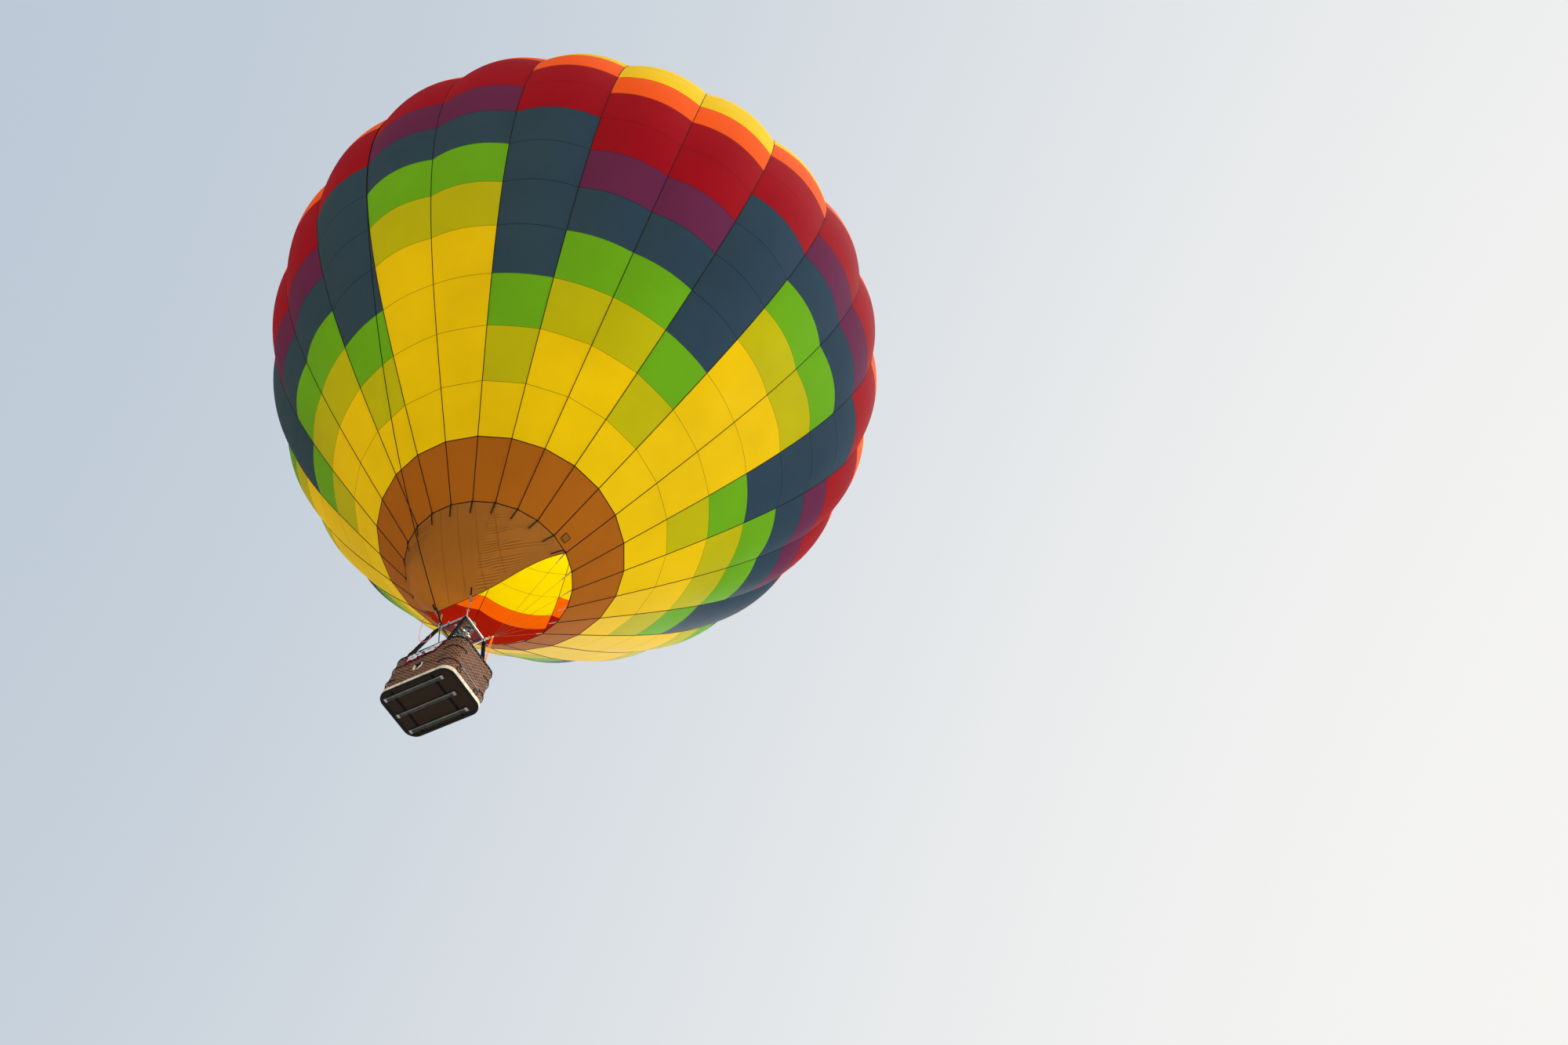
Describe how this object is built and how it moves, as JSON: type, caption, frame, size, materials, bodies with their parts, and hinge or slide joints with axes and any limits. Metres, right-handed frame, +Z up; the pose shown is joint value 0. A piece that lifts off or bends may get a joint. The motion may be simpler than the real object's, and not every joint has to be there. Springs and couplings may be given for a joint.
{
  "type": "hot air balloon",
  "caption": "Hot air balloon with a natural shape gored envelope, air scoop, crown valve, tilting double burner and wicker basket.",
  "frame": {"origin": "on the envelope's vertical axis at the centre of the lifting air, 15 m above the underside of the basket's floor board", "axes": "+Z up along the envelope's axis, +X along the basket's long side, and the air scoop faces -Y"},
  "size_m": [16.7744, 16.7744, 21.9558],
  "materials": {
    "envelope_fabric": "satin ripstop nylon, sewn in coloured panels",
    "heat_band_fabric": "matt heat resistant fabric",
    "valve_fabric": "satin ripstop nylon",
    "webbing": "black woven webbing",
    "crown_ring_metal": "satin",
    "plywood": "dark varnished plywood, scuffed",
    "wicker": "woven willow and cane, varnished",
    "rawhide": "pale rawhide, laced",
    "leather": "black padded hide",
    "skid_metal": "worn, dull",
    "frame_steel": "polished stainless tube",
    "valve_metal": "polished",
    "can_steel": "stainless sheet, heat stained",
    "coil_steel": "stainless tube, heat stained",
    "upright_jacket": "black padded jacket",
    "carabiner_steel": "zinc plated",
    "wire_steel": "fine steel wire rope",
    "cylinder_jacket": "dark padded jacket"
  },
  "bodies": {
    "balloon": {"gore_01": "envelope_fabric", "gore_02": "envelope_fabric", "gore_03": "envelope_fabric", "gore_04": "envelope_fabric", "gore_05": "envelope_fabric", "gore_06": "envelope_fabric", "gore_07": "envelope_fabric", "gore_08": "envelope_fabric", "gore_09": "envelope_fabric", "gore_10": "envelope_fabric", "gore_11": "envelope_fabric", "gore_12": "envelope_fabric", "gore_13": "envelope_fabric", "gore_14": "envelope_fabric", "gore_15": "envelope_fabric", "gore_16": "envelope_fabric", "gore_17": "envelope_fabric", "gore_18": "envelope_fabric", "gore_19": "envelope_fabric", "gore_20": "envelope_fabric", "gore_21": "envelope_fabric", "gore_22": "envelope_fabric", "gore_23": "envelope_fabric", "gore_24": "envelope_fabric", "heat_band": "heat_band_fabric", "air_scoop": "heat_band_fabric", "crown_tapes": "webbing", "crown_ring": "crown_ring_metal", "floor_board": "plywood", "wicker_wall": "wicker", "scuff_band": "rawhide", "rim_padding": "leather", "floor_skids": "skid_metal", "burner_frame": "frame_steel", "upright_1": "upright_jacket", "carabiner_1": "carabiner_steel", "flying_wires_1": "wire_steel", "upright_2": "upright_jacket", "carabiner_2": "carabiner_steel", "flying_wires_2": "wire_steel", "upright_3": "upright_jacket", "carabiner_3": "carabiner_steel", "flying_wires_3": "wire_steel", "upright_4": "upright_jacket", "carabiner_4": "carabiner_steel", "flying_wires_4": "wire_steel", "fuel_cylinder_1": "cylinder_jacket", "fuel_cylinder_2": "cylinder_jacket", "fuel_cylinder_3": "cylinder_jacket"},
    "gimbal": {"gimbal_ring": "frame_steel"},
    "burner": {"burner_base": "valve_metal", "burner_can_1": "can_steel", "burner_can_2": "can_steel", "burner_coil_1": "coil_steel", "burner_coil_2": "coil_steel"},
    "valve": {"parachute_valve": "valve_fabric"}
  },
  "joints": [
    {"name": "gimbal_tilt", "type": "hinge", "parent": "balloon", "child": "gimbal", "pos_m": [0, 0, -12.915], "axis": [1, 0, 0], "range_deg": [-15, 15]},
    {"name": "burner_tilt", "type": "hinge", "parent": "gimbal", "child": "burner", "pos_m": [0, 0, -12.915], "axis": [0, 1, 0], "range_deg": [-15, 15]},
    {"name": "valve_drop", "type": "slide", "parent": "balloon", "child": "valve", "axis": [0, 0, -1], "range_m": [0, 1]}
  ]
}
